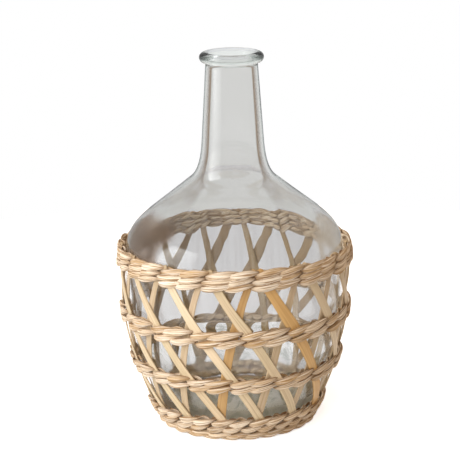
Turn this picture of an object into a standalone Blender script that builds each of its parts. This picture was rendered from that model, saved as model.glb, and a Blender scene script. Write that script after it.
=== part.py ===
# A glass bottle vase in an open basket of cane strips and twined rush.
# Metres, Z up, the floor at Z = 0 and the bottle's axis on the Z axis.
# An azimuth is an angle round that axis, from the front (-Y) towards +X.

import math

import bmesh
import bpy
from mathutils import Vector
from mathutils.geometry import interpolate_bezier

# Fit
CLEARANCE = 0.0003
GLASS_CLEARANCE = 0.0004

# Base mat
MAT_THICKNESS = 0.0030
MAT_EDGE_BEVEL = 0.0008

# Glass bottle: rises are stacked one on another from the mat to the lip
HEEL_RISE = 0.0047
BELLY_RISE = 0.1200
SHOULDER_RISE = 0.0690
NECK_FLARE_RISE = 0.0310
NECK_LENGTH = 0.0635
LIP_HEIGHT = 0.0085
FOOT_RING_INNER_RADIUS = 0.0480
FOOT_RING_OUTER_RADIUS = 0.0550
HEEL_RADIUS = 0.0610
BELLY_RADIUS = 0.0884
SHOULDER_RADIUS = 0.0376
NECK_FOOT_RADIUS = 0.0249
NECK_TOP_RADIUS = 0.0206
LIP_RADIUS = 0.0255
WALL = 0.0030
FLOOR_THICKNESS = 0.0060
PUNT_RISE = 0.0080
BELLY_FULLNESS = 2.3
SHOULDER_SLOPE = math.radians(39.3)
GLASS_SIDES = 36

# Cane strips
STRIP_COUNT = 15
GOLDEN_STRIP = 1
APEX_AZIMUTH = math.radians(12.0)
RIGHT_LEG_WIDTH = 0.0076
LEFT_LEG_WIDTH = 0.0061
CANE_THICKNESS = 0.0011
RIGHT_LEG_SWEEP = math.radians(57.0)
LEFT_LEG_SWEEP = math.radians(24.0)
RIGHT_LEG_BEND = 1.10
LEFT_LEG_BEND = 0.65
UPPER_BAND_SHARE = 0.36
APEX_RISE = 0.0008
LEG_STATIONS = 14
STATION_CROWDING = 1.6
FOLD_STATIONS = 3
ROOM_STEPS = 4

# Rush strands
INNER_STRAND_THICKNESS = 0.0012
OUTER_STRAND_THICKNESS = 0.0020
TOP_PITCH = 0.0045
BAND_PITCH = 0.0060
TOP_BAND_HEIGHT = 0.1349
TOP_BAND_ROWS = 3
UPPER_BAND_HEIGHT = 0.0905
UPPER_BAND_ROWS = 2
LOWER_BAND_HEIGHT = 0.0508
LOWER_BAND_ROWS = 2
BASE_BAND_ROWS = 2

# Border hoop
BORDER_HEIGHT = 0.0066
BORDER_WIDTH = 0.0066
BORDER_BEVEL = 0.0020
BORDER_SIDES = 48

# Heights of the bottle, from the floor
GLASS_FOOT = MAT_THICKNESS + CLEARANCE
HEEL_TOP = GLASS_FOOT + HEEL_RISE
WIDEST = HEEL_TOP + BELLY_RISE
SHOULDER_TOP = WIDEST + SHOULDER_RISE
NECK_FOOT = SHOULDER_TOP + NECK_FLARE_RISE
NECK_TOP = NECK_FOOT + NECK_LENGTH
TOTAL_HEIGHT = NECK_TOP + LIP_HEIGHT

# Layers outside the glass, each as the distance of its middle from the glass
INNER_STRAND_OFFSET = GLASS_CLEARANCE + INNER_STRAND_THICKNESS / 2
LEFT_LEG_OFFSET = INNER_STRAND_OFFSET + INNER_STRAND_THICKNESS / 2 + CLEARANCE + CANE_THICKNESS / 2
RIGHT_LEG_OFFSET = LEFT_LEG_OFFSET + CANE_THICKNESS + CLEARANCE
OUTER_STRAND_OFFSET = RIGHT_LEG_OFFSET + CANE_THICKNESS / 2 + CLEARANCE + OUTER_STRAND_THICKNESS / 2
BASKET_OFFSET = OUTER_STRAND_OFFSET + OUTER_STRAND_THICKNESS / 2

STRIP_STEP = math.tau / STRIP_COUNT


def bezier(start, start_handle, end_handle, end, count):
    """Points of one curve in the radius-height plane, both ends included."""
    corners = [Vector((radius, height, 0.0)) for radius, height in (start, start_handle, end_handle, end)]
    return [(point.x, point.y) for point in interpolate_bezier(*corners, count)]


def ellipse(centre, radii, start, end, count):
    """Points of an elliptical arc in the radius-height plane, angles in degrees."""
    points = []
    for step in range(count):
        angle = math.radians(start + (end - start) * step / (count - 1))
        points.append((centre[0] + radii[0] * math.cos(angle), centre[1] + radii[1] * math.sin(angle)))
    return points


def belly(count):
    """The outside of the belly, from the heel to the widest height."""
    points = []
    for step in range(count):
        down = 1.0 - step / (count - 1)
        radius = BELLY_RADIUS - (BELLY_RADIUS - HEEL_RADIUS) * down ** BELLY_FULLNESS
        points.append((radius, WIDEST - BELLY_RISE * down))
    return points


def shoulder(count):
    """The outside of the shoulder, from the widest height to where it is straight."""
    inward = 0.877 * (BELLY_RADIUS - SHOULDER_RADIUS)
    end = (SHOULDER_RADIUS, SHOULDER_TOP)
    handle = (SHOULDER_RADIUS + inward, SHOULDER_TOP - inward * math.tan(SHOULDER_SLOPE))
    return bezier((BELLY_RADIUS, WIDEST), (BELLY_RADIUS, WIDEST + 0.515 * SHOULDER_RISE), handle, end, count)


def neck_flare(count):
    """The outside of the flare between the shoulder and the neck."""
    inward = 0.30 * (SHOULDER_RADIUS - NECK_FOOT_RADIUS)
    start_handle = (SHOULDER_RADIUS - inward, SHOULDER_TOP + inward * math.tan(SHOULDER_SLOPE))
    taper = (NECK_FOOT_RADIUS - NECK_TOP_RADIUS) / NECK_LENGTH
    drop = 0.80 * NECK_FLARE_RISE
    end_handle = (NECK_FOOT_RADIUS + taper * drop, NECK_FOOT - drop)
    start = (SHOULDER_RADIUS, SHOULDER_TOP)
    return bezier(start, start_handle, end_handle, (NECK_FOOT_RADIUS, NECK_FOOT), count)


def outside(belly_count, shoulder_count, flare_count):
    """The outside of the bottle from the heel to the underside of the lip."""
    points = belly(belly_count) + shoulder(shoulder_count)[1:] + neck_flare(flare_count)[1:]
    return points + [(NECK_TOP_RADIUS, NECK_TOP)]


def normals(points):
    """The outward unit normal at each point of an outline that runs upwards."""
    result = []
    for index in range(len(points)):
        before = points[max(index - 1, 0)]
        after = points[min(index + 1, len(points) - 1)]
        run = after[0] - before[0]
        rise = after[1] - before[1]
        length = math.hypot(run, rise)
        result.append((rise / length, -run / length))
    return result


WALL_POINTS = outside(120, 120, 40)
WALL_NORMALS = normals(WALL_POINTS)


def wall_at(height):
    """Radius and outward normal of the glass at a height, on its true curve."""
    index = 0
    while index < len(WALL_POINTS) - 2 and WALL_POINTS[index + 1][1] < height:
        index += 1
    low, high = WALL_POINTS[index], WALL_POINTS[index + 1]
    share = min(max((height - low[1]) / (high[1] - low[1]), 0.0), 1.0)
    radius = low[0] + (high[0] - low[0]) * share
    normal_low, normal_high = WALL_NORMALS[index], WALL_NORMALS[index + 1]
    across = normal_low[0] + (normal_high[0] - normal_low[0]) * share
    upward = normal_low[1] + (normal_high[1] - normal_low[1]) * share
    return radius, across, upward


def on_wall(azimuth, height, offset):
    """A point at a distance straight out from the glass."""
    radius, across, upward = wall_at(height)
    radius += across * offset
    return Vector((radius * math.sin(azimuth), -radius * math.cos(azimuth), height + upward * offset))


def make_material(name, colour, roughness, transmission=0.0):
    material = bpy.data.materials.new(name)
    material.use_nodes = True
    shader = material.node_tree.nodes["Principled BSDF"]
    shader.inputs["Base Color"].default_value = (*colour, 1.0)
    shader.inputs["Roughness"].default_value = roughness
    shader.inputs["Metallic"].default_value = 0.0
    shader.inputs["Transmission Weight"].default_value = transmission
    return material


def finish(name, mesh_data, material, sharp_angle=math.radians(35.0)):
    """Turn edited mesh data into a named object with its faces pointing out."""
    bmesh.ops.recalc_face_normals(mesh_data, faces=mesh_data.faces)
    mesh = bpy.data.meshes.new(name)
    mesh_data.to_mesh(mesh)
    mesh_data.free()
    mesh.shade_smooth()
    mesh.set_sharp_from_angle(angle=sharp_angle)
    mesh.materials.append(material)
    piece = bpy.data.objects.new(name, mesh)
    bpy.context.collection.objects.link(piece)
    return piece


def turned(name, outline, sides, closed, material):
    """A body turned round the Z axis from an outline of radius and height."""
    mesh_data = bmesh.new()
    vertices = [mesh_data.verts.new((0.0, -radius, height)) for radius, height in outline]
    edges = [mesh_data.edges.new(pair) for pair in zip(vertices, vertices[1:])]
    if closed:
        edges.append(mesh_data.edges.new((vertices[-1], vertices[0])))
    bmesh.ops.spin(mesh_data, geom=vertices + edges, cent=(0, 0, 0), axis=(0, 0, 1),
                   angle=math.tau, steps=sides, use_merge=True)
    bmesh.ops.remove_doubles(mesh_data, verts=mesh_data.verts, dist=0.000001)
    return finish(name, mesh_data, material)


def lofted(name, rings, closed, material):
    """A body skinned over rings of points, either closed on itself or capped at both ends."""
    mesh_data = bmesh.new()
    loops = [[mesh_data.verts.new(point) for point in ring] for ring in rings]
    sides = len(rings[0])
    pairs = list(zip(loops, loops[1:]))
    if closed:
        pairs.append((loops[-1], loops[0]))
    for first, second in pairs:
        for side in range(sides):
            after = (side + 1) % sides
            mesh_data.faces.new((first[side], first[after], second[after], second[side]))
    if not closed:
        mesh_data.faces.new(loops[0])
        mesh_data.faces.new(loops[-1])
    return finish(name, mesh_data, material)


def glass_outline():
    """The whole section of the bottle, from the axis underneath to the axis inside."""
    foot_inner = (FOOT_RING_INNER_RADIUS, GLASS_FOOT)
    foot_outer = (FOOT_RING_OUTER_RADIUS, GLASS_FOOT)
    punt = bezier((0.0, GLASS_FOOT + PUNT_RISE), (0.5 * FOOT_RING_INNER_RADIUS, GLASS_FOOT + PUNT_RISE),
                  (0.8 * FOOT_RING_INNER_RADIUS, GLASS_FOOT), foot_inner, 6)
    belly_slope = BELLY_FULLNESS * (BELLY_RADIUS - HEEL_RADIUS) / BELLY_RISE
    heel_handle = (HEEL_RADIUS - 0.6 * HEEL_RISE * belly_slope, HEEL_TOP - 0.6 * HEEL_RISE)
    foot_handle = (FOOT_RING_OUTER_RADIUS + 0.7 * (HEEL_RADIUS - FOOT_RING_OUTER_RADIUS), GLASS_FOOT)
    heel = bezier(foot_outer, foot_handle, heel_handle, (HEEL_RADIUS, HEEL_TOP), 4)

    outer = outside(8, 10, 5)
    lip_centre = (NECK_TOP_RADIUS, TOTAL_HEIGHT - LIP_HEIGHT / 2)
    lip_radii = (LIP_RADIUS - NECK_TOP_RADIUS, LIP_HEIGHT / 2)
    lip = ellipse(lip_centre, lip_radii, -80.0, 90.0, 6)
    mouth_radii = (WALL, WALL)
    mouth = ellipse((NECK_TOP_RADIUS, TOTAL_HEIGHT - WALL), mouth_radii, 90.0, 180.0, 4)[1:]

    inner = []
    for (radius, height), (across, upward) in zip(outer, normals(outer)):
        inner.append((radius - WALL * across, height - WALL * upward))
    inner = inner[1:-1][::-1]
    floor = GLASS_FOOT + FLOOR_THICKNESS
    corner_top = inner[-1]
    corner_handle = (corner_top[0] - belly_slope * (corner_top[1] - floor), floor)
    corner = bezier(corner_top, corner_handle, foot_outer[:1] + (floor,), (FOOT_RING_INNER_RADIUS, floor), 5)[1:]
    bottom = bezier(corner[-1], (0.8 * FOOT_RING_INNER_RADIUS, floor),
                    (0.5 * FOOT_RING_INNER_RADIUS, floor + PUNT_RISE), (0.0, floor + PUNT_RISE), 6)[1:]
    return punt + heel + outer[1:] + lip + mouth + inner + corner + bottom


def make_glass(material):
    return turned("glass_bottle", glass_outline(), GLASS_SIDES, False, material)


# Cane strips

def foot_height():
    """The height on the glass at which the legs end, just clear of the border."""
    upward = wall_at(HEEL_TOP)[2]
    return BORDER_HEIGHT + CLEARANCE - upward * (RIGHT_LEG_OFFSET + CANE_THICKNESS / 2)


def apex_height():
    """The height on the glass at which each strip folds over."""
    return TOP_BAND_HEIGHT + (TOP_BAND_ROWS - 0.5) * TOP_PITCH + APEX_RISE


def upper_band_edge():
    """The height of the upper band's top edge, from which down the band holds the legs apart."""
    return UPPER_BAND_HEIGHT + (UPPER_BAND_ROWS - 0.5) * BAND_PITCH


def share_down(height):
    """How far down its leg a height lies: 0 at the fold, UPPER_BAND_SHARE at that edge and 1 at the foot."""
    foot, apex, edge = foot_height(), apex_height(), upper_band_edge()
    if height > edge:
        return max(UPPER_BAND_SHARE * (apex - height) / (apex - edge), 0.0)
    return min(UPPER_BAND_SHARE + (1.0 - UPPER_BAND_SHARE) * (edge - height) / (edge - foot), 1.0)


def leg_sweep(side, height):
    """Azimuth of a leg's middle, measured from its strip's fold."""
    down = share_down(height)
    if side == "right":
        return RIGHT_LEG_SWEEP * down ** RIGHT_LEG_BEND
    return -LEFT_LEG_SWEEP * down ** LEFT_LEG_BEND


def leg_half_angle(side, height):
    """Half of a leg's level width, as an angle, so that its width across the grain is true."""
    width = RIGHT_LEG_WIDTH if side == "right" else LEFT_LEG_WIDTH
    reach = 0.002
    low = max(height - reach, foot_height())
    high = min(height + reach, apex_height() - reach)
    low = min(low, high - reach)
    radius = wall_at(height)[0]
    slant = radius * (leg_sweep(side, low) - leg_sweep(side, high)) / (high - low)
    return width * math.hypot(1.0, slant) / 2 / radius


def leg_rings(side, fold_azimuth):
    """Sections of one leg from its foot up to the fold, inner face first."""
    foot, apex = foot_height(), apex_height()
    offset = RIGHT_LEG_OFFSET if side == "right" else LEFT_LEG_OFFSET
    rings = []
    for station in range(LEG_STATIONS):
        height = apex - (apex - foot) * (1.0 - station / (LEG_STATIONS - 1)) ** STATION_CROWDING
        middle = fold_azimuth + leg_sweep(side, height)
        half = leg_half_angle(side, height)
        near, far = offset - CANE_THICKNESS / 2, offset + CANE_THICKNESS / 2
        corners = ((-half, near), (half, near), (half, far), (-half, far))
        rings.append([on_wall(middle + angle, height, distance) for angle, distance in corners])
    return rings


def fold_rings(fold_azimuth):
    """Sections of the strip as it turns over from its right leg to its left leg."""
    middle = (RIGHT_LEG_OFFSET + LEFT_LEG_OFFSET) / 2
    bend = (RIGHT_LEG_OFFSET - LEFT_LEG_OFFSET) / 2
    half = (leg_half_angle("right", apex_height()) + leg_half_angle("left", apex_height())) / 2
    rings = []
    for station in range(1, FOLD_STATIONS + 1):
        turn = math.pi * station / (FOLD_STATIONS + 1)
        ring = []
        for angle, side in ((-half, -1), (half, -1), (half, 1), (-half, 1)):
            reach = bend + side * CANE_THICKNESS / 2
            height = apex_height() + reach * math.sin(turn)
            ring.append(on_wall(fold_azimuth + angle, height, middle + reach * math.cos(turn)))
        rings.append(ring)
    return rings


def make_strip(number, material):
    """One strip: up the right leg, over the fold and down the left leg behind it."""
    fold_azimuth = APEX_AZIMUTH + (number - 1) * STRIP_STEP
    left = []
    for ring in reversed(leg_rings("left", fold_azimuth)):
        inner_start, inner_end, outer_end, outer_start = ring
        left.append([outer_start, outer_end, inner_end, inner_start])
    rings = leg_rings("right", fold_azimuth) + fold_rings(fold_azimuth) + left
    return lofted(f"cane_strip_{number:02d}", rings, False, material)


# Twined rush rows

def leg_room(side, height, pitch):
    """Start and end azimuth that a leg takes up over the whole height of a row."""
    starts, ends = [], []
    for step in range(ROOM_STEPS + 1):
        level = height + pitch * (step / ROOM_STEPS - 0.5)
        middle = APEX_AZIMUTH + leg_sweep(side, level)
        half = leg_half_angle(side, level) + CLEARANCE / wall_at(level)[0]
        starts.append(middle - half)
        ends.append(middle + half)
    return min(starts), max(ends)


def row_warps(height, pitch, paired):
    """Start and end azimuth of each thing that the row goes round: a leg, or a left and a right leg."""
    left, right = leg_room("left", height, pitch), leg_room("right", height, pitch)
    turns = math.floor((sum(right) - sum(left)) / 2 / STRIP_STEP)
    right = tuple(azimuth - turns * STRIP_STEP for azimuth in right)
    first = [left, right]
    if paired:
        first = [(min(left[0], right[0]), max(left[1], right[1]))]
    warps = []
    for strip in range(STRIP_COUNT):
        for start, end in first:
            warps.append((start + strip * STRIP_STEP, end + strip * STRIP_STEP))
    return warps


def strand_ring(azimuth, height, offset, tall, thick):
    """A section of a strand, level with the axis of the vase."""
    corners = ((-tall, -thick), (tall, -thick), (tall, thick), (-tall, thick))
    return [on_wall(azimuth, height + up / 2, offset + out / 2) for up, out in corners]


def strand_rings(warps, height, pitch, first_front, turns, paired):
    """Sections of a strand that passes in front of one warp and behind the next, all the way round."""
    narrow = pitch / 2 - CLEARANCE
    full = pitch - CLEARANCE
    rings = []
    for count in range(turns * len(warps)):
        start, end = warps[count % len(warps)]
        middle = (start + end) / 2
        in_front = (count + first_front) % 2 == 0
        if in_front:
            stations = ((start, -pitch / 4, narrow), (middle, 0.0, full), (end, pitch / 4, narrow))
            offset, thick = OUTER_STRAND_OFFSET, OUTER_STRAND_THICKNESS
        else:
            stations = ((start, pitch / 4, narrow), (middle, 0.0, narrow), (end, -pitch / 4, narrow))
            offset, thick = INNER_STRAND_OFFSET, INNER_STRAND_THICKNESS
            if not paired:
                stations = (stations[0], stations[2])
        for azimuth, rise, tall in stations:
            rings.append(strand_ring(azimuth, height + rise, offset, tall, thick))
    return rings


def make_row(name, height, pitch, paired, material):
    """One twined row: one strand that goes round twice, or two strands that go round once."""
    warps = row_warps(height, pitch, paired)
    if len(warps) % 2:
        lofted(name, strand_rings(warps, height, pitch, 0, 2, paired), True, material)
        return
    for first_front, letter in enumerate("ab"):
        rings = strand_rings(warps, height, pitch, first_front, 1, paired)
        lofted(f"{name}_{letter}", rings, True, material)


def make_band(name, lowest, pitch, rows, paired, material):
    for row in range(rows):
        make_row(f"{name}_row_{row + 1}", lowest + row * pitch, pitch, paired, material)


def base_band_height():
    """Height on the glass of the lowest twined row, which rests on the border."""
    upward = wall_at(HEEL_TOP)[2]
    return BORDER_HEIGHT + CLEARANCE - upward * BASKET_OFFSET + BAND_PITCH / 2


# Border and mat

def border_inner_radius():
    return wall_at(BORDER_HEIGHT)[0] + GLASS_CLEARANCE


def make_border(material):
    inner = border_inner_radius()
    outer = inner + BORDER_WIDTH
    bevel = BORDER_BEVEL
    outline = [(inner, bevel), (inner + bevel, 0.0), (outer - bevel, 0.0), (outer, bevel),
               (outer, BORDER_HEIGHT - bevel), (outer - bevel, BORDER_HEIGHT),
               (inner + bevel, BORDER_HEIGHT), (inner, BORDER_HEIGHT - bevel)]
    return turned("base_border", outline, BORDER_SIDES, True, material)


def make_mat(material):
    radius = border_inner_radius() - CLEARANCE
    bevel = MAT_EDGE_BEVEL
    outline = [(0.0, 0.0), (radius - bevel, 0.0), (radius, bevel), (radius, MAT_THICKNESS - bevel),
               (radius - bevel, MAT_THICKNESS), (0.0, MAT_THICKNESS)]
    return turned("base_mat", outline, BORDER_SIDES, False, material)


def main():
    for thing in list(bpy.data.objects):
        bpy.data.objects.remove(thing, do_unlink=True)

    make_glass(make_material("clear_glass", (0.80, 0.84, 0.82), 0.03, 1.0))

    straw = make_material("straw_cane", (0.62, 0.50, 0.29), 0.50)
    golden = make_material("golden_cane", (0.60, 0.33, 0.10), 0.48)
    for number in range(1, STRIP_COUNT + 1):
        make_strip(number, golden if number == GOLDEN_STRIP else straw)

    rush = make_material("pale_rush", (0.74, 0.56, 0.38), 0.75)
    make_band("top_band", TOP_BAND_HEIGHT, TOP_PITCH, TOP_BAND_ROWS, True, rush)
    make_band("upper_band", UPPER_BAND_HEIGHT, BAND_PITCH, UPPER_BAND_ROWS, False, rush)
    make_band("lower_band", LOWER_BAND_HEIGHT, BAND_PITCH, LOWER_BAND_ROWS, True, rush)
    make_band("base_band", base_band_height(), BAND_PITCH, BASE_BAND_ROWS, True, rush)
    make_border(make_material("border_rush", (0.68, 0.50, 0.33), 0.78))
    make_mat(make_material("mat_rush", (0.60, 0.45, 0.30), 0.80))


main()
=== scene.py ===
import bisect
import math
import random

import bpy
from mathutils import Matrix, Vector, noise
from mathutils.geometry import interpolate_bezier


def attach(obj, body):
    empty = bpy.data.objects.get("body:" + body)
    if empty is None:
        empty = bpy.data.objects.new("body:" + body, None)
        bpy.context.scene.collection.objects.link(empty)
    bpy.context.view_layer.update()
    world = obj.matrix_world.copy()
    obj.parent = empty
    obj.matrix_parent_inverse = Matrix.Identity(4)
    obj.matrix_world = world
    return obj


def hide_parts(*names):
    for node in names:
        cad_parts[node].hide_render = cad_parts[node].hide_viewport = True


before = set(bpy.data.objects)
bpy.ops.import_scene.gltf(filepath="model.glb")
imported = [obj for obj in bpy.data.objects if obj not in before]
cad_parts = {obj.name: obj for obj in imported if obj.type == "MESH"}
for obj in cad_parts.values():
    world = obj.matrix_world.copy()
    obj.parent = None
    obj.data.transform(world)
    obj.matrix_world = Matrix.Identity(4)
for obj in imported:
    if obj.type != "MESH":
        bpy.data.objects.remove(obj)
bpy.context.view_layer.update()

bottle = {
    # radius and height of the outline's corners, metres, with the table at 0
    "heel": (0.0610, 0.0080), "widest": (0.0884, 0.1280), "shoulder": (0.0376, 0.1970),
    "neckFoot": (0.0249, 0.2280), "neckTop": (0.0206, 0.2915),
    "foot": 0.0033, "footInner": 0.0480, "footOuter": 0.0550, "lipRadius": 0.0255, "top": 0.3000,
    "wall": 0.0030, "floorThickness": 0.0060, "punt": 0.0080,
    # how far each curve runs on from its two ends
    "bellyFullness": 2.3, "shoulderSlope": math.radians(39.3), "shoulderBend": (0.515, 0.877),
    "flareBend": (0.30, 0.80), "heelBend": (0.7, 0.6), "puntBend": (0.5, 0.8),
    # glass gathered inside, at the front of the shoulder and in a ridge at its sides
    "evenBelow": 0.102, "thin": 0.0026, "gather": 0.0018, "gatherRise": (0.132, 0.164),
    "gatherFade": (0.168, 0.188), "gatherLoss": 0.6, "sideGather": 0.0020, "sideHeight": 0.166,
    "sideReach": 0.018, "sideTurn": (math.radians(24), math.radians(38)), "frontTurn": (-0.10, 0.40),
    # waves in both faces, calmer high up and at the sides
    "waveOut": 0.00012, "waveIn": 0.00045, "waveSpread": 2.2, "waveTall": 14.0, "insideShift": 40.0,
    "ripple": 0.00003, "rippleScale": 4.5, "calm": 0.35, "calmRise": (0.160, 0.190),
    "sideCalm": 0.65, "sideCalmTurn": (0.72, 0.92), "stillRadius": 0.02,
    # points along the belly, shoulder, flare and neck, for seating the basket and for the mesh
    "seatSteps": (120, 120, 40, 20), "meshSteps": (40, 40, 18, 24), "sides": 168,
    "puntSteps": 16, "heelSteps": 10, "cornerSteps": 12,
    # the lip's and the mouth's arcs, in degrees, with their number of points
    "lipArc": (-80.0, 90.0, 20), "mouthArc": (90.0, 180.0, 9),
}


# Shapes and places


def clamp(value):
    return min(max(value, 0.0), 1.0)


def ramp(value, low, high):
    # Eased from 0 at low to 1 at high
    share = clamp((value - low) / (high - low))
    return share * share * (3.0 - 2.0 * share)


def between(first, second, share):
    return first + (second - first) * share


def signedPower(value, power):
    return math.copysign(abs(value) ** power, value)


def noiseAt(x, y, z):
    return noise.noise(Vector((x, y, z)))


def around(radius, azimuth, height):
    # Azimuth 0 is the front, and it grows to the right
    return Vector((radius * math.sin(azimuth), -radius * math.cos(azimuth), height))


def rightward(azimuth):
    return Vector((math.cos(azimuth), math.sin(azimuth), 0.0))


def turnsOf(count):
    return [math.tau * step / count for step in range(count)]


def heading(points, index, closed=True):
    # The direction of a line of points at one of them
    if closed:
        before, after = index - 1, (index + 1) % len(points)
    else:
        before, after = max(index - 1, 0), min(index + 1, len(points) - 1)
    return (points[after] - points[before]).normalized()


def squareTo(along, direction):
    # The part of a direction that is square to a line
    return (direction - along * direction.dot(along)).normalized()


def ovalRing(centre, across, up, halfWidth, halfThickness, sides):
    return [centre + across * (halfWidth * math.cos(turn)) + up * (halfThickness * math.sin(turn))
            for turn in turnsOf(sides)]


def bezier(start, startHandle, endHandle, end, count):
    corners = [Vector((radius, height, 0.0)) for radius, height in (start, startHandle, endHandle, end)]
    return [(point.x, point.y) for point in interpolate_bezier(*corners, count)]


def arc(centre, radii, start, end, count):
    points = []
    for step in range(count):
        angle = math.radians(start + (end - start) * step / (count - 1))
        points.append((centre[0] + radii[0] * math.cos(angle), centre[1] + radii[1] * math.sin(angle)))
    return points


def outsideOfGlass(bellyCount, shoulderCount, flareCount, neckCount):
    b = bottle
    heel, widest, shoulder, foot, top = b["heel"], b["widest"], b["shoulder"], b["neckFoot"], b["neckTop"]
    points = []
    for step in range(bellyCount):
        down = 1.0 - step / (bellyCount - 1)
        points.append((widest[0] - (widest[0] - heel[0]) * down ** b["bellyFullness"],
                       widest[1] - (widest[1] - heel[1]) * down))
    slope = math.tan(b["shoulderSlope"])
    rise = b["shoulderBend"][0] * (shoulder[1] - widest[1])
    inward = b["shoulderBend"][1] * (widest[0] - shoulder[0])
    points += bezier(widest, (widest[0], widest[1] + rise),
                     (shoulder[0] + inward, shoulder[1] - inward * slope), shoulder, shoulderCount)[1:]
    inward = b["flareBend"][0] * (shoulder[0] - foot[0])
    taper = (foot[0] - top[0]) / (top[1] - foot[1])
    drop = b["flareBend"][1] * (foot[1] - shoulder[1])
    points += bezier(shoulder, (shoulder[0] - inward, shoulder[1] + inward * slope),
                     (foot[0] + taper * drop, foot[1] - drop), foot, flareCount)[1:]
    for step in range(1, neckCount + 1):
        share = step / neckCount
        points.append((between(foot[0], top[0], share), between(foot[1], top[1], share)))
    return points


def normalsOf(points):
    result = []
    for index in range(len(points)):
        before, after = points[max(index - 1, 0)], points[min(index + 1, len(points) - 1)]
        run, rise = after[0] - before[0], after[1] - before[1]
        length = math.hypot(run, rise)
        result.append((rise / length, -run / length))
    return result


wallPoints = outsideOfGlass(*bottle["seatSteps"])
wallHeights = [height for radius, height in wallPoints]
wallRows = [(radius, *normal) for (radius, height), normal in zip(wallPoints, normalsOf(wallPoints))]


def wallAt(height):
    # The outside's radius at a height, and how far it faces outward and upward there
    index = min(max(bisect.bisect_right(wallHeights, height) - 1, 0), len(wallRows) - 2)
    low, high = wallHeights[index:index + 2]
    share = clamp((height - low) / (high - low))
    return [between(first, second, share) for first, second in zip(*wallRows[index:index + 2])]


def onWall(azimuth, height, offset):
    radius, outward, upward = wallAt(height)
    return around(radius + outward * offset, azimuth, height + upward * offset)


def wallNormal(azimuth, height):
    radius, outward, upward = wallAt(height)
    return around(outward, azimuth, upward)


def wallThickness(height, azimuth):
    # The glass gathers on the front of the shoulder and stretches what is seen through it
    b = bottle
    away = abs((azimuth + math.pi) % math.tau - math.pi)
    middle = b["thin"] + b["gather"] * ramp(height, *b["gatherRise"])
    middle -= b["gatherLoss"] * b["gather"] * ramp(height, *b["gatherFade"])
    # Towards the sides it makes a ridge
    ridge = b["wall"] + b["sideGather"] * math.exp(-((height - b["sideHeight"]) / b["sideReach"]) ** 2)
    middle = between(middle, ridge, ramp(away, *b["sideTurn"]))
    return between(b["wall"], middle, ramp(math.cos(azimuth), *b["frontTurn"]))


# Meshes


def addObject(name, data):
    added = bpy.data.objects.new(name, data)
    bpy.context.collection.objects.link(added)
    return added


def meshPiece(name, vertices, faces, uvs, values, material):
    mesh = bpy.data.meshes.new(name)
    mesh.from_pydata(vertices, [], faces)
    if uvs:
        layer = mesh.uv_layers.new(name="grainUV")
        layer.data.foreach_set("uv", [number for pair in uvs for number in pair])
    for key, numbers in values.items():
        attribute = mesh.attributes.new(key, "FLOAT", "POINT")
        attribute.data.foreach_set("value", numbers)
    mesh.validate()
    mesh.shade_smooth()
    mesh.materials.append(material)
    return addObject(name, mesh)


def facesBetween(here, there, sides):
    return [(here + side, here + (side + 1) % sides, there + (side + 1) % sides, there + side)
            for side in range(sides)]


class skinnedRings:
    # Gathers tubes into one mesh, each as rows of a ring of points with their painted shade and tones
    def __init__(self):
        self.vertices, self.faces, self.uvs = [], [], []
        self.tone, self.shadeAndDullSide = [], []

    def addTube(self, rows, closed, lengths):
        first, sides, count = len(self.vertices), len(rows[0][0]), len(rows)
        for ring, shadeMarks, tones in rows:
            self.vertices += ring
            self.shadeAndDullSide += shadeMarks
            self.tone += tones
        for index in range(count if closed else count - 1):
            after = (index + 1) % count
            low = lengths[index]
            high = lengths[after] if after else lengths[-1] + (lengths[-1] - lengths[-2])
            self.faces += facesBetween(first + index * sides, first + after * sides, sides)
            for side in range(sides):
                left, right = side / sides, (side + 1) / sides
                self.uvs += [(low, left), (low, right), (high, right), (high, left)]
        if not closed:
            for index, turned in ((0, True), (count - 1, False)):
                corners = [first + index * sides + side for side in range(sides)]
                self.faces.append(tuple(reversed(corners)) if turned else tuple(corners))
                self.uvs += [(lengths[index], side / sides) for side in range(sides)]

    def finish(self, name, material):
        return meshPiece(name, self.vertices, self.faces, self.uvs,
                         {"tone": self.tone, "shadeAndDullSide": self.shadeAndDullSide}, material)


def lengthsAlong(points):
    total, result = 0.0, [0.0]
    for before, after in zip(points, points[1:]):
        total += (after - before).length
        result.append(total)
    return result


# Shader nodes


def newMaterial(name):
    material = bpy.data.materials.new(name)
    material.use_nodes = True
    return material, material.node_tree, material.node_tree.nodes["Principled BSDF"]


def feed(tree, socket, value):
    # Numbers and colours are set on a socket, and outputs are linked to it
    if isinstance(value, (int, float)):
        socket.default_value = value
    elif isinstance(value, tuple):
        socket.default_value = (*value, 1.0)
    else:
        tree.links.new(value, socket)


def mathNode(tree, operation, first, *others):
    # Goes on with the result as its first value where there are more than two
    for value in others or (None,):
        node = tree.nodes.new("ShaderNodeMath")
        node.operation = operation
        feed(tree, node.inputs[0], first)
        if value is not None:
            feed(tree, node.inputs[1], value)
        first = node.outputs[0]
    return first


def product(tree, *values):
    return mathNode(tree, "MULTIPLY", *values)


def rangeNode(tree, value, *limits):
    # Two limits go to 0 and 1, and two more numbers take their place
    node = tree.nodes.new("ShaderNodeMapRange")
    tree.links.new(value, node.inputs["Value"])
    for label, number in zip(("From Min", "From Max", "To Min", "To Max"), limits):
        node.inputs[label].default_value = number
    return node.outputs["Result"]


def mixColour(tree, factor, first, second):
    node = tree.nodes.new("ShaderNodeMix")
    node.data_type = "RGBA"
    for socket, value in ((node.inputs[0], factor), (node.inputs[6], first), (node.inputs[7], second)):
        feed(tree, socket, value)
    return node.outputs[2]


def noiseNode(tree, vector, scale, detail, distortion=0.0):
    node = tree.nodes.new("ShaderNodeTexNoise")
    tree.links.new(vector, node.inputs["Vector"])
    for label, value in (("Scale", scale), ("Detail", detail), ("Distortion", distortion)):
        feed(tree, node.inputs[label], value)
    return node.outputs[0]


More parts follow.
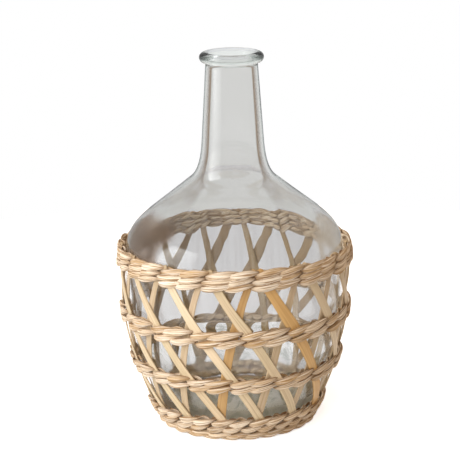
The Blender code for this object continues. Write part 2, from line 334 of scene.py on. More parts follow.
def bumpNode(tree, height, strength, distance):
    node = tree.nodes.new("ShaderNodeBump")
    node.inputs["Strength"].default_value = strength
    node.inputs["Distance"].default_value = distance
    tree.links.new(height, node.inputs["Height"])
    return node.outputs[0]


def attributeNode(tree, key):
    node = tree.nodes.new("ShaderNodeAttribute")
    node.attribute_name = key
    return node.outputs["Fac"]


def newGroup(name, inputs, outputs):
    group = bpy.data.node_groups.new(name, "ShaderNodeTree")
    for label, value in inputs.items():
        socket = group.interface.new_socket(label, in_out="INPUT", socket_type="NodeSocketFloat")
        socket.default_value = value
    for label in outputs:
        group.interface.new_socket(label, in_out="OUTPUT", socket_type="NodeSocketFloat")
    return group, group.nodes.new("NodeGroupInput"), group.nodes.new("NodeGroupOutput")


def placeGroup(tree, group, values):
    node = tree.nodes.new("ShaderNodeGroup")
    node.node_tree = group
    for label, value in values.items():
        node.inputs[label].default_value = value
    return node.outputs


grainLines = {"detail": 3.0, "dark": (0.52, 0.64), "pale": (0.48, 0.36)}


def makeGrainGroup():
    # Fine lines that run along a strip or a strand, from its grainUV map
    group, inside, outside = newGroup("lengthwiseGrain", {"Lines": 40.0, "Stretch": 60.0},
                                      ("Dark Lines", "Pale Lines", "Height"))
    uv = group.nodes.new("ShaderNodeUVMap")
    uv.uv_map = "grainUV"
    parts = group.nodes.new("ShaderNodeSeparateXYZ")
    group.links.new(uv.outputs[0], parts.inputs[0])
    # The turn round the strand goes round a circle, so that the lines meet where the map does
    turn = product(group, parts.outputs[1], math.tau)
    spread = mathNode(group, "DIVIDE", inside.outputs["Lines"], math.tau)
    join = group.nodes.new("ShaderNodeCombineXYZ")
    group.links.new(product(group, parts.outputs[0], inside.outputs["Stretch"]), join.inputs[0])
    for socket, operation in zip(join.inputs[1:], ("COSINE", "SINE")):
        group.links.new(product(group, mathNode(group, operation, turn), spread), socket)
    lines = noiseNode(group, join.outputs[0], 1.0, grainLines["detail"])
    group.links.new(rangeNode(group, lines, *grainLines["dark"]), outside.inputs["Dark Lines"])
    group.links.new(rangeNode(group, lines, *grainLines["pale"]), outside.inputs["Pale Lines"])
    group.links.new(lines, outside.inputs["Height"])
    return group


def makeMottleGroup():
    # Broad patches and small flecks over a whole piece
    group, inside, outside = newGroup("dryMottle", {"Patch Scale": 60.0, "Fleck Scale": 900.0},
                                      ("Patches", "Flecks"))
    where = group.nodes.new("ShaderNodeTexCoord").outputs["Object"]
    for label, target, low, high in (("Patch Scale", "Patches", 0.35, 0.65),
                                     ("Fleck Scale", "Flecks", 0.62, 0.75)):
        texture = noiseNode(group, where, inside.outputs[label], 2.0)
        group.links.new(rangeNode(group, texture, low, high), outside.inputs[target])
    return group


grainGroup = makeGrainGroup()
mottleGroup = makeMottleGroup()


def plantMaterial(name, look):
    # Dry plant fibre: each length's own tone, then patches, grain, flecks, and painted shade in creases, on
    # edges and where parts meet, over it
    material, tree, shader = newMaterial(name)
    grain = placeGroup(tree, grainGroup, {"Lines": look["lines"], "Stretch": look["stretch"]})
    mottle = placeGroup(tree, mottleGroup, {"Patch Scale": look["patches"]})
    body = mixColour(tree, attributeNode(tree, "tone"), look["dark"], look["light"])
    for key, mask in (("patch", mottle["Patches"]), ("line", grain["Dark Lines"]),
                      ("pale", grain["Pale Lines"]), ("fleck", mottle["Flecks"]),
                      ("shadeAndDullSide", attributeNode(tree, "shadeAndDullSide"))):
        body = mixColour(tree, product(tree, mask, look[key + "Share"]), body, look[key])
    tree.links.new(body, shader.inputs["Base Color"])
    rough = rangeNode(tree, grain["Height"], 0.3, 0.7, *look["roughness"])
    tree.links.new(rough, shader.inputs["Roughness"])
    shader.inputs["Specular IOR Level"].default_value = look["specular"]
    tree.links.new(bumpNode(tree, grain["Height"], look["bump"], look["bumpDepth"]), shader.inputs["Normal"])
    return material


rushLook = {
    "dark": (0.6, 0.4, 0.2), "light": (0.955, 0.832, 0.66),
    "patch": (0.78, 0.59, 0.37), "patchShare": 0.25, "patches": 70.0,
    "line": (0.37, 0.215, 0.095), "lineShare": 0.95, "pale": (0.99, 0.935, 0.84), "paleShare": 0.65,
    "lines": 31.0, "stretch": 55.0, "fleck": (0.36, 0.21, 0.11), "fleckShare": 0.4,
    "shadeAndDullSide": (0.235, 0.12, 0.048), "shadeAndDullSideShare": 0.9,
    "roughness": (0.62, 0.8), "specular": 0.17, "bump": 0.55, "bumpDepth": 0.0004,
}
caneLook = {
    "dark": (0.56, 0.41, 0.235), "light": (0.86, 0.71, 0.5),
    "patch": (0.59, 0.5, 0.31), "patchShare": 0.6, "patches": 26.0,
    "line": (0.38, 0.25, 0.12), "lineShare": 0.4, "pale": (0.86, 0.72, 0.52), "paleShare": 0.4,
    "lines": 26.0, "stretch": 12.0, "fleck": (0.25, 0.16, 0.08), "fleckShare": 0.2,
    "shadeAndDullSide": (0.26, 0.14, 0.06), "shadeAndDullSideShare": 0.75,
    "roughness": (0.38, 0.56), "specular": 0.4, "bump": 0.35, "bumpDepth": 0.0004,
}
goldenLook = dict(caneLook, dark=(0.52, 0.285, 0.088), light=(0.71, 0.45, 0.18), lineShare=0.45,
                  patch=(0.64, 0.4, 0.15), line=(0.44, 0.21, 0.06), pale=(0.86, 0.6, 0.28))
borderLook = dict(rushLook, dark=(0.6, 0.42, 0.25), light=(0.83, 0.66, 0.46))
matLook = dict(rushLook, dark=(0.9, 0.85, 0.72), light=(0.98, 0.94, 0.83), lineShare=0.2,
               patch=(0.92, 0.87, 0.75), line=(0.7, 0.64, 0.53), shadeAndDullSideShare=0.25, fleckShare=0.0)

paleRush = plantMaterial("paleRush", rushLook)
strawCane = plantMaterial("strawCane", caneLook)
goldenCane = plantMaterial("goldenCane", goldenLook)
borderRush = plantMaterial("borderRush", borderLook)
matRush = plantMaterial("matRush", matLook)

# Pairs say where something starts and is full: heights, places across, or how edge on the wall is seen
glassLook = {
    "bellyColour": (0.852, 0.846, 0.838), "neck": (0.18, 0.215), "neckColour": (0.862, 0.856, 0.85),
    "lip": (0.2915, 0.2935), "lipColour": (0.95, 0.965, 0.955), "lipRough": 0.2, "lipOutline": 0.1,
    "foot": (0.062, 0.046), "footColour": (1.0, 1.0, 0.985), "footSmooth": (0.024, 0.04), "footRough": 0.33,
    "swirlScale": 55.0, "swirl": 2.2, "streak": (0.52, 0.64), "streakColour": (0.66, 0.695, 0.66),
    "edgeStart": (0.33, 0.37), "edgeEnd": (0.62, 0.4), "edgeLow": 0.12, "paintedBandColour": (0.2, 0.125, 0.075),
    "outline": (0.66, 0.8), "paintedOutlineColour": (0.3, 0.37, 0.36),
    "massTop": (0.177, 0.171), "massFoot": (0.134, 0.141), "massStart": (0.25, 0.32), "massEnd": (0.8, 0.7),
    "massLeft": (-0.043, -0.05), "paintedShadeColour": (0.38, 0.235, 0.145), "massShare": 0.9,
    "massRight": (0.056, 0.068), "paintedLightColour": (1.0, 1.0, 0.99), "massRough": 0.16,
    "waveScale": 55.0, "waveTall": 0.35, "bump": 0.1, "bumpDepth": 0.001,
    "ior": 1.5, "absorb": (0.68, 0.72, 0.695), "density": 60.0, "clear": (1.0, 0.981, 0.966),
}


def makeGlassMaterial():
    look = glassLook
    material, tree, shader = newMaterial("greyGreenGlass")
    where = tree.nodes.new("ShaderNodeTexCoord").outputs["Object"]
    parts = tree.nodes.new("ShaderNodeSeparateXYZ")
    tree.links.new(where, parts.inputs[0])
    path = tree.nodes.new("ShaderNodeLightPath").outputs
    across, up = parts.outputs[0], parts.outputs[2]
    facing = tree.nodes.new("ShaderNodeLayerWeight").outputs["Facing"]
    masks = {}
    for value, names in ((up, "neck lip foot massTop massFoot"), (across, "massLeft massRight"),
                         (facing, "edgeStart edgeEnd outline massStart massEnd")):
        for name in names.split():
            masks[name] = rangeNode(tree, value, *look[name])
    tint = mixColour(tree, masks["neck"], look["bellyColour"], look["neckColour"])
    tint = mixColour(tree, masks["lip"], tint, look["lipColour"])
    # Streaks in the thick glass of the foot
    swirl = noiseNode(tree, where, look["swirlScale"], 3.0, look["swirl"])
    streaks = rangeNode(tree, swirl, *look["streak"])
    streaked = mixColour(tree, streaks, look["footColour"], look["streakColour"])
    tint = mixColour(tree, masks["foot"], tint, streaked)
    # A painted brown band inside the outline, where the wall is seen edge on: a painted refraction of the
    # basket
    fromNeck = rangeNode(tree, up, *look["neck"], look["edgeLow"], 1.0)
    toLip = mathNode(tree, "SUBTRACT", 1.0, masks["lip"])
    band = product(tree, masks["edgeStart"], masks["edgeEnd"], path["Is Camera Ray"], fromNeck, toLip)
    tint = mixColour(tree, band, tint, look["paintedBandColour"])
    # A painted dark outline on the neck, standing in for a dark reflection at its edge
    onLip = rangeNode(tree, masks["lip"], 0.0, 1.0, 1.0, look["lipOutline"])
    rim = product(tree, masks["outline"], masks["neck"], onLip, path["Is Camera Ray"])
    tint = mixColour(tree, rim, tint, look["paintedOutlineColour"])
    # Thick uneven glass at the shoulder's sides is blurred, with painted shade in brown on the left and
    # painted light in pale on the right
    thick = product(tree, path["Is Camera Ray"], masks["massTop"], masks["massFoot"], masks["massStart"],
                    masks["massEnd"])
    left = product(tree, thick, masks["massLeft"])
    right = product(tree, thick, masks["massRight"])
    tint = mixColour(tree, product(tree, left, look["massShare"]), tint, look["paintedShadeColour"])
    tint = mixColour(tree, right, tint, look["paintedLightColour"])
    tree.links.new(tint, shader.inputs["Base Color"])
    blurred = product(tree, mathNode(tree, "ADD", left, right), look["massRough"])
    lipRough = product(tree, masks["lip"], look["lipRough"])
    footRough = rangeNode(tree, up, *look["footSmooth"], look["footRough"], 0.0)
    tree.links.new(mathNode(tree, "MAXIMUM", footRough, lipRough, blurred), shader.inputs["Roughness"])
    shader.inputs["Transmission Weight"].default_value = 1.0
    shader.inputs["IOR"].default_value = look["ior"]
    stretch = tree.nodes.new("ShaderNodeMapping")
    stretch.inputs["Scale"].default_value = (1.0, 1.0, look["waveTall"])
    tree.links.new(where, stretch.inputs["Vector"])
    waves = noiseNode(tree, stretch.outputs[0], look["waveScale"], 1.0)
    tree.links.new(bumpNode(tree, waves, look["bump"], look["bumpDepth"]), shader.inputs["Normal"])
    # Lamps and bounced light reach the weave behind the glass
    clear = tree.nodes.new("ShaderNodeBsdfTransparent")
    clear.inputs["Color"].default_value = (*look["clear"], 1.0)
    mix = tree.nodes.new("ShaderNodeMixShader")
    tree.links.new(mathNode(tree, "MAXIMUM", path["Is Shadow Ray"], path["Is Diffuse Ray"]), mix.inputs[0])
    tree.links.new(shader.outputs[0], mix.inputs[1])
    tree.links.new(clear.outputs[0], mix.inputs[2])
    output = tree.nodes["Material Output"]
    tree.links.new(mix.outputs[0], output.inputs["Surface"])
    volume = tree.nodes.new("ShaderNodeVolumeAbsorption")
    volume.inputs["Color"].default_value = (*look["absorb"], 1.0)
    volume.inputs["Density"].default_value = look["density"]
    tree.links.new(volume.outputs[0], output.inputs["Volume"])
    return material


# Glass bottle


def glassOutline():
    b = bottle
    foot, floor = b["foot"], b["foot"] + b["floorThickness"]
    heel, widest, neckTop = b["heel"], b["widest"], b["neckTop"]
    crown, flat = (share * b["footInner"] for share in b["puntBend"])
    punt = bezier((0.0, foot + b["punt"]), (crown, foot + b["punt"]), (flat, foot),
                  (b["footInner"], foot), b["puntSteps"])
    slope = b["bellyFullness"] * (widest[0] - heel[0]) / (widest[1] - heel[1])
    run = b["heelBend"][0] * (heel[0] - b["footOuter"])
    drop = b["heelBend"][1] * (heel[1] - foot)
    bend = bezier((b["footOuter"], foot), (b["footOuter"] + run, foot),
                  (heel[0] - drop * slope, heel[1] - drop), heel, b["heelSteps"])
    outer = outsideOfGlass(*b["meshSteps"])
    half = (b["top"] - neckTop[1]) / 2
    lip = arc((neckTop[0], b["top"] - half), (b["lipRadius"] - neckTop[0], half), *b["lipArc"])
    mouth = arc((neckTop[0], b["top"] - b["wall"]), (b["wall"], b["wall"]), *b["mouthArc"])[1:]
    inner = [(radius - b["wall"] * outward, height - b["wall"] * upward)
             for (radius, height), (outward, upward) in zip(outer, normalsOf(outer))]
    inner = inner[1:-1][::-1]
    corner = bezier(inner[-1], (inner[-1][0] - slope * (inner[-1][1] - floor), floor),
                    (b["footOuter"], floor), (b["footInner"], floor), b["cornerSteps"])[1:]
    bottom = bezier(corner[-1], (flat, floor), (crown, floor + b["punt"]), (0.0, floor + b["punt"]),
                    b["puntSteps"])[1:]
    outside = punt + bend + outer[1:] + lip
    return outside + mouth + inner + corner + bottom, len(outside)


def makeGlass():
    b = bottle
    outline, insideFrom = glassOutline()
    rings, sides = outline[1:-1], b["sides"]
    vertices, faces = [], []
    for index, (radius, height) in enumerate(rings):
        inside = index + 1 >= insideFrom
        for azimuth in turnsOf(sides):
            depth = height * b["waveTall"] + (b["insideShift"] if inside else 0.0)
            spot = around(b["waveSpread"], azimuth, depth)
            wave = noise.noise(spot) * (b["waveIn"] if inside else b["waveOut"])
            if inside:
                wave += noise.noise(spot * b["rippleScale"]) * b["ripple"]
                wave *= 1.0 - (1.0 - b["calm"]) * ramp(height, *b["calmRise"])
                wave *= 1.0 - b["sideCalm"] * ramp(abs(math.sin(azimuth)), *b["sideCalmTurn"])
                if height > b["evenBelow"]:
                    wave -= wallThickness(height, azimuth) - b["wall"]
            wave *= min(radius / b["stillRadius"], 1.0)
            vertices.append(around(radius + wave, azimuth, height))
    for index in range(len(rings) - 1):
        faces += facesBetween(index * sides, (index + 1) * sides, sides)
    under = len(vertices)
    last = under - sides
    vertices += [(0.0, 0.0, outline[0][1]), (0.0, 0.0, outline[-1][1])]
    for side in range(sides):
        after = (side + 1) % sides
        faces.append((under, after, side))
        faces.append((under + 1, last + side, last + after))
    return meshPiece("blownBottle", vertices, faces, None, {}, makeGlassMaterial())


# Cane strips

cane = {
    "count": 15, "golden": 1, "apexAzimuth": math.radians(10.8), "foot": 0.00894, "apex": 0.14695,
    "bandEdge": 0.0995, "bandShare": 0.36, "foldTop": 0.1452, "thickness": 0.0011, "roundEdge": 0.42,
    "dome": 0.10, "domeSteps": 10, "flatSteps": 6, "rightWidth": 0.0077, "leftWidth": 0.0062,
    "goldenWidth": 1.13, "otherWidths": (0.93, 1.07), "rightSweep": math.radians(57.0),
    "leftSweep": math.radians(23.0), "rightBend": 1.14, "leftBend": 0.70, "rightOffset": 0.00385,
    "leftOffset": 0.00245, "stations": 56, "crowding": 1.5, "foldStations": 9, "seed": 7,
    "wander": math.radians(0.55), "wanderScale": 26.0, "widthChange": 0.10, "widthScale": 22.0,
    "sway": 0.00010, "swayScale": 95.0, "foldRise": 1.5, "ridge": 0.000045, "ridgeScale": (2600.0, 30.0),
    # nipped where the legs leave the top band, splayed where the upper band holds them
    "nip": (0.100, 0.130), "leftFull": 1.04, "leftNip": 0.20, "rightNip": 0.08, "foldFull": 0.88,
    "splay": 0.15, "splayReach": 0.012,
    # painted shade under the top band and on the edges, and the dull inner side's own colour
    "bandShade": (0.133, 0.139), "shade": 0.62, "edgeShade": 0.40, "edgeFrom": 0.46, "pith": 0.9,
    "tones": (0.15, 0.95), "toneChange": 0.25, "toneScale": 18.0,
}
stripStep = math.tau / cane["count"]


def legSweep(side, height):
    # The upper band holds the legs apart, so their share of the way down is tied to it
    apex, edge, foot, share = cane["apex"], cane["bandEdge"], cane["foot"], cane["bandShare"]
    if height > edge:
        down = max(share * (apex - height) / (apex - edge), 0.0)
    else:
        down = min(share + (1.0 - share) * (edge - height) / (edge - foot), 1.0)
    if side == "right":
        return cane["rightSweep"] * down ** cane["rightBend"]
    return -cane["leftSweep"] * down ** cane["leftBend"]


def legFullness(side, height):
    nipped = ramp(height, *cane["nip"])
    if side == "left":
        return cane["leftFull"] - cane["leftNip"] * nipped
    if side == "fold":
        return cane["foldFull"]
    splayed = math.exp(-((height - cane["bandEdge"]) / cane["splayReach"]) ** 2)
    return 1.0 - cane["rightNip"] * nipped + cane["splay"] * splayed


def caneSection(width, thickness):
    # Flat inner face, faintly domed rind outside, small round edges
    points = []
    half, edge = width / 2, thickness * cane["roundEdge"]
    for step in range(cane["domeSteps"] + 1):
        share = step / cane["domeSteps"]
        across = -half + edge + (width - 2 * edge) * share
        points.append((across, thickness / 2 + cane["dome"] * thickness * math.sin(math.pi * share)))
    for angle in map(math.radians, (60, 20, -20, -60)):
        points.append((half - edge + edge * math.cos(angle), thickness / 2 * math.sin(angle)))
    for step in range(cane["flatSteps"] + 1):
        points.append((half - edge - (width - 2 * edge) * step / cane["flatSteps"], -thickness / 2))
    for angle in map(math.radians, (-120, -160, 160, 120)):
        points.append((-half + edge + edge * math.cos(angle), thickness / 2 * math.sin(angle)))
    return points


def stripPath(number):
    # Up the right leg, over the fold, down the left leg
    fold = cane["apexAzimuth"] + (number - 1) * stripStep
    count = cane["stations"]
    legs = {}
    for side in ("right", "left"):
        stations = []
        for step in range(count):
            below = (1.0 - step / (count - 1)) ** cane["crowding"]
            height = cane["foldTop"] - (cane["foldTop"] - cane["foot"]) * below
            down = (cane["apex"] - height) / (cane["apex"] - cane["foot"])
            shift = noiseAt(number * 3.7, 1.3 if side == "left" else 8.1, height * cane["wanderScale"])
            azimuth = fold + legSweep(side, height) + shift * cane["wander"] * min(down * 6.0, 1.0)
            offset = cane[side + "Offset"] + cane["sway"] * math.sin(height * cane["swayScale"] + number)
            stations.append((azimuth, height, offset, side))
        legs[side] = stations
    middle = (cane["rightOffset"] + cane["leftOffset"]) / 2
    bend = (cane["rightOffset"] - cane["leftOffset"]) / 2
    turnover = []
    start, end = legs["right"][-1][0], legs["left"][-1][0]
    for step in range(1, cane["foldStations"] + 1):
        share = step / (cane["foldStations"] + 1)
        angle = math.pi * share
        height = cane["foldTop"] + cane["foldRise"] * bend * math.sin(angle)
        turnover.append((between(start, end, share), height, middle + bend * math.cos(angle), "fold"))
    return legs["right"] + turnover + legs["left"][::-1]


def makeStrip(number, material):
    stations = stripPath(number)
    points = [onWall(azimuth, height, offset) for azimuth, height, offset, side in stations]
    lengths = lengthsAlong(points)
    draw = random.Random(cane["seed"] * 100 + number)
    tone = draw.uniform(*cane["tones"])
    share = cane["goldenWidth"] if number == cane["golden"] else draw.uniform(*cane["otherWidths"])
    widths = {"right": cane["rightWidth"], "left": cane["leftWidth"],
              "fold": (cane["rightWidth"] + cane["leftWidth"]) / 2}
    rows = []
    for index, (azimuth, height, offset, side) in enumerate(stations):
        along = heading(points, index, closed=False)
        across = squareTo(along, rightward(azimuth))
        out = across.cross(along).normalized()
        width = widths[side] * share * legFullness(side, height)
        width *= 1.0 + cane["widthChange"] * noiseAt(number * 5.1, 2.2, lengths[index] * cane["widthScale"])
        # Painted shade under the top band; below, painted shade on the edges and the inner side's own paler,
        # duller colour
        shaded = cane["shade"] * ramp(height, *cane["bandShade"])
        changed = tone + cane["toneChange"] * noiseAt(number, 4.0, lengths[index] * cane["toneScale"])
        finer, coarser = cane["ridgeScale"]
        ring, folds, shades = [], [], []
        for right, up in caneSection(width, cane["thickness"]):
            ridge = cane["ridge"] * noiseAt(right * finer, number * 9.0, lengths[index] * coarser)
            ring.append(points[index] + across * right + out * (up + (ridge if up > 0 else 0.0)))
            pith = cane["pith"] if up < 0 else 0.0
            atEdge = abs(right) > width * cane["edgeFrom"]
            folds.append(max(shaded, cane["edgeShade"] if atEdge else cane["shade"] * pith))
            shades.append(clamp(changed + pith))
        rows.append((ring[::-1], folds[::-1], shades[::-1]))
    skin = skinnedRings()
    skin.addTube(rows, False, [length + number for length in lengths])
    return skin.finish(f"caneStrip{number:02d}", material)


# Twined rush

twining = {
    # offsets from the glass behind the legs, at the crossings and in front
    "inner": 0.00115, "middle": 0.0034, "outer": 0.0058, "rounding": 0.55, "jitter": 0.55,
    "front": 20, "back": 7, "sides": 40, "roll": 22.0, "seed": 21,
    # each leaf's own size, lift, bulge, tone and place of its widest part
    "size": (0.86, 1.12), "lift": 0.00045, "bulge": (-0.00020, 0.00040), "tones": (0.25, 1.0),
    "skew": (0.62, 0.88), "tip": 0.20, "backTip": 0.26, "backWidth": 0.52, "thinTip": 0.30, "tuckBend": 0.30,
    "tuckFade": 2.2,
    # folds, and the painted shade in folds and wrinkles, on the rims, in the seams between rows and where a
    # leaf tucks under
    "folds": 10, "foldDepth": 0.34, "foldShade": 0.95, "wrinkle": 0.08, "round": 0.85, "flat": 0.68,
    "rim": (0.93, 0.99), "rimShade": 0.80, "seamShade": 1.0, "seamWidth": 0.00048, "tuckShade": 0.95,
    "innerFrom": -0.2, "innerPaintedLight": 0.75, "backRound": 0.6, "thinning": 0.7, "wrinkleScale": 45.0,
    "wrinkleShade": 0.3, "toneChange": 0.25, "toneScale": 20.0, "foldLeast": 0.75, "foldChange": 0.70,
    # where folds lie, how deep they go and how the strips between them differ
    "foldStray": 0.3, "foldSize": (0.45, 1.0), "firstTone": (-0.4, 0.4), "foldTone": (-0.45, 0.45),
}
# the dark filler of painted shade at each crossing
crossingShade = {
    "reach": math.radians(2.9), "shift": math.radians(0.9), "offset": 0.00105, "thickness": 0.0008,
    "inward": 0.02, "half": 0.19, "deepHalf": 0.28, "blunt": 1.02, "stations": 7, "sides": 10, "tone": 0.9,
    "shadeFrom": -0.1,
}
bands = {
    # crossings in degrees from a strip's step: deep ones beside a leg, long laps between them
    "topBand": {"heights": (0.1349, 0.1394, 0.1438), "pitch": 0.0045, "rise": 0.50, "width": 1.46,
                "thick": 0.0026, "crossings": ((8.9, 21.7), (9.1, 23.1), (11.0, 23.2)), "laps": (1.3, 3.6),
                "deep": (1.0, 0.35), "strands": ("",)},
    "upperBand": {"heights": (0.0905, 0.0965), "pitch": 0.0060, "rise": 0.50, "width": 1.10,
                  "thick": 0.0028, "crossings": ((4.4, 16.6), (2.8, 12.4)), "laps": (1.2, 3.4),
                  "deep": (1.0, 0.35), "strands": ("a", "b")},
    "lowerBand": {"heights": (0.0511, 0.0565), "pitch": 0.0054, "rise": 0.50, "width": 1.14,
                  "thick": 0.0028, "crossings": ((9.6, 21.8), (9.2, 21.4)), "laps": (3.2, 1.2),
                  "deep": (0.35, 1.0), "strands": ("",)},
    "baseBand": {"heights": (0.0133, 0.0190), "pitch": 0.0058, "rise": 0.46, "width": 1.14,
                 "thick": 0.0029, "crossings": ((3.6, 15.8), (8.6, 20.6)), "laps": (1.4, 2.8),
                 "deep": (0.9, 0.4), "strands": ("",)},
}


def makePleats(sides, count, draw):
    # Where a leaf is folded along its length, and the tone of each strip of it between two folds
    pleats, shades = [0.0] * sides, []
    for fold in range(count):
        stray = draw.uniform(-twining["foldStray"], twining["foldStray"])
        pleats[round(sides * (fold + stray) / count) % sides] = draw.uniform(*twining["foldSize"])
    shade = draw.uniform(*twining["firstTone"])
    for pleat in pleats:
        if pleat:
            shade = draw.uniform(*twining["foldTone"])
        shades.append(shade)
    return pleats, shades


def leafSection(width, thickness, pleated, roll, seed, length, seams=()):
    # A flat leaf rolled on itself, its folds turning slowly round it, with painted shade in its folds and
    # wrinkles, on its rims and where it meets the next row
    t = twining
    points, folds, shades = [], [], []
    pleats, tones = pleated
    for side, pleat in enumerate(pleats):
        angle = math.tau * side / len(pleats) + roll
        across = signedPower(math.cos(angle), t["round"])
        up = signedPower(math.sin(angle), t["flat"])
        spot = Vector((side * 0.55, seed * 7.3, length * t["wrinkleScale"]))
        wrinkle = noise.noise(spot)
        change = noise.noise(spot + Vector((0.0, 31.0, 0.0)))
        depth = max(pleat * (t["foldLeast"] + t["foldChange"] * change), 0.0)
        grown = 1.0 + t["wrinkle"] * wrinkle - t["foldDepth"] * depth
        points.append((across * width / 2 * grown, up * thickness / 2 * grown))
        # Painted shade on the leaf's rims and in the seams where it meets the next row
        rim = t["rimShade"] * ramp(abs(across), *t["rim"])
        for seam in seams:
            near = 1.0 - abs(across * width / 2 - seam) / t["seamWidth"]
            rim = max(rim, t["seamShade"] * ramp(near, 0.0, 1.0))
        # Painted light on the inner side: a paler tone and less painted shade
        inner = t["innerPaintedLight"] if math.sin(angle) < t["innerFrom"] else 0.0
        # Painted shade in the wrinkles and folds
        dark = max(-wrinkle * t["wrinkleShade"], 0.0) + t["foldShade"] * depth + rim
        folds.append(min(dark, 1.0) * (1.0 - inner))
        change = t["toneChange"] * noiseAt(side * 0.31, seed * 3.1, length * t["toneScale"])
        shades.append(tones[side] + inner + change)
    return points, folds, shades


def strandStations(crossings, height, band, first, draw):
    # In front of one leg and behind the next, with a crossing between them
    t = twining
    stations = []
    laps = [math.radians(lap) for lap in band["laps"]]
    ends = crossings + [crossings[0] + math.tau]
    for number, (start, end) in enumerate(zip(ends, ends[1:])):
        inFront = (number + first) % 2 == 0
        sign = -1.0 if inFront else 1.0
        start += sign * laps[number % 2]
        end -= sign * laps[(number + 1) % 2]
        deepStart, deepEnd = band["deep"][number % 2], band["deep"][(number + 1) % 2]
        rise = -sign * band["rise"] * band["pitch"]
        size = draw.uniform(*t["size"])
        lift = draw.uniform(-t["lift"], t["lift"])
        bulge = draw.uniform(*t["bulge"])
        tone = draw.uniform(*t["tones"])
        skew = draw.uniform(*t["skew"])
        steps = t["front"] if inFront else t["back"]
        for step in range(steps):
            share = step / steps
            arch = math.sin(math.pi * share)
            azimuth = between(start, end, share)
            turned = 2.0 * share - 1.0
            level = height + rise * turned * (1.0 - t["tuckBend"] * turned * turned) + lift * arch
            if inFront:
                # Blunt and on top where the leaf starts, a tucked point where it ends
                arch = math.sin(math.pi * share ** skew)
                offset = t["middle"] + (t["outer"] - t["middle"] + bulge) * arch ** t["rounding"]
                width = band["pitch"] * band["width"] * size * between(t["tip"], 1.0, arch)
                thick = band["thick"] * between(t["thinTip"], 1.0, arch ** t["thinning"])
            else:
                offset = t["middle"] - (t["middle"] - t["inner"]) * arch ** t["rounding"]
                wider = t["backWidth"] * arch ** t["backRound"]
                width = band["pitch"] * (band["width"] * t["backTip"] + wider)
                thick = band["thick"] * t["thinTip"]
            # Painted shade where the leaf tucks under at a crossing
            tuck = (1.0 - arch) ** t["tuckFade"] * (deepStart if share < 0.5 else deepEnd)
            stations.append((azimuth, level, offset, width, thick, tone, tuck))
    return stations


def addStrand(skin, stations, seed, draw, seams):
    points = [onWall(azimuth, level, offset) for azimuth, level, offset, *rest in stations]
    lengths = lengthsAlong(points)
    whole = lengths[-1] + (points[0] - points[-1]).length
    rolls = round(whole * twining["roll"] / math.tau)
    pleated = makePleats(twining["sides"], twining["folds"], draw)
    rows = []
    for index, (azimuth, level, offset, width, thick, tone, tuck) in enumerate(stations):
        along = heading(points, index)
        out = squareTo(along, wallNormal(azimuth, level))
        across = out.cross(along)
        roll = math.tau * rolls * lengths[index] / whole
        section, folds, shades = leafSection(width, thick, pleated, roll, seed, lengths[index], seams)
        rows.append(([points[index] + across * right + out * up for right, up in section],
                     [min(fold + twining["tuckShade"] * tuck, 1.0) for fold in folds],
                     [clamp(tone + shade) for shade in shades]))
    skin.addTube(rows, True, [length + seed for length in lengths])


def addCrossingShade(skin, crossings, height, band, inward):
    # A dark filler of painted shade at the heart of the twist, where two leaves cross
    count, sides = crossingShade["stations"], crossingShade["sides"]
    level = height + inward * crossingShade["inward"] * band["pitch"]
    dark = [1.0 if math.sin(turn) > crossingShade["shadeFrom"] else 0.0 for turn in turnsOf(sides)]
    for number, crossing in enumerate(crossings):
        deep = band["deep"][number % 2]
        rows = []
        for step in range(count):
            share = 2.0 * step / (count - 1) - 1.0
            azimuth = crossing + deep * crossingShade["shift"] + share * crossingShade["reach"]
            out = wallNormal(azimuth, level)
            half = band["pitch"] * (crossingShade["half"] + crossingShade["deepHalf"] * deep)
            half *= math.sqrt(crossingShade["blunt"] - share * share)
            ring = ovalRing(onWall(azimuth, level, crossingShade["offset"]), out.cross(rightward(azimuth)), out,
                            half, crossingShade["thickness"] / 2, sides)
            rows.append((ring, dark, [crossingShade["tone"]] * sides))
        skin.addTube(rows, False, [0.001 * step + crossing for step in range(count)])


def makeRow(bandName, row):
    # Two strands twined round the cane legs, in one piece or in one each
    band = bands[bandName]
    draw = random.Random(f"{twining['seed']} {bandName} {row}")
    jitter = twining["jitter"]
    crossings = [math.radians(degrees + draw.uniform(-jitter, jitter)) + strip * stripStep
                 for strip in range(cane["count"]) for degrees in band["crossings"][row]]
    height, last = band["heights"][row], len(band["heights"]) - 1
    half = band["pitch"] / 2
    # Painted shade lines go where the row meets its neighbours
    seams = [side for side, meets in ((-half, row > 0), (half, row < last)) if meets]
    skins = [skinnedRings() for strand in band["strands"]]
    for strand in range(2):
        stations = strandStations(crossings, height, band, strand, draw)
        addStrand(skins[strand % len(skins)], stations, row * 2 + strand + 1, draw, seams)
    addCrossingShade(skins[0], crossings, height, band, 1.0 if row == 0 else -1.0 if row == last else 0.0)
    names = [f"{bandName}Row{row + 1}{strand}" for strand in band["strands"]]
    return [skin.finish(name, paleRush) for skin, name in zip(skins, names)]


# Border and mat under the basket

border = {
    "radius": 0.0630, "height": 0.0036, "lowest": 0.0001, "strands": 2, "width": 0.0052, "thick": 0.0042,
    "helixRadius": 0.0014, "squash": 0.90, "turns": 13, "leafTurns": 4, "stations": 420, "sides": 26,
    "folds": 7, "tone": 0.55, "toneChange": 0.45, "toneScale": 30.0, "seed": 3, "leafSeed": 9,
}
mat = {
    "rings": 9, "inner": 0.0055, "step": 0.00655, "halfWidth": 0.0033, "thickness": 0.0011, "waves": 15,
    "wave": 0.00050, "middle": 0.0016, "stations": 90, "sides": 12, "edgeShade": 0.35, "edgeFrom": 0.9,
    "tone": 0.35, "toneStep": 0.09, "tones": 5,
}


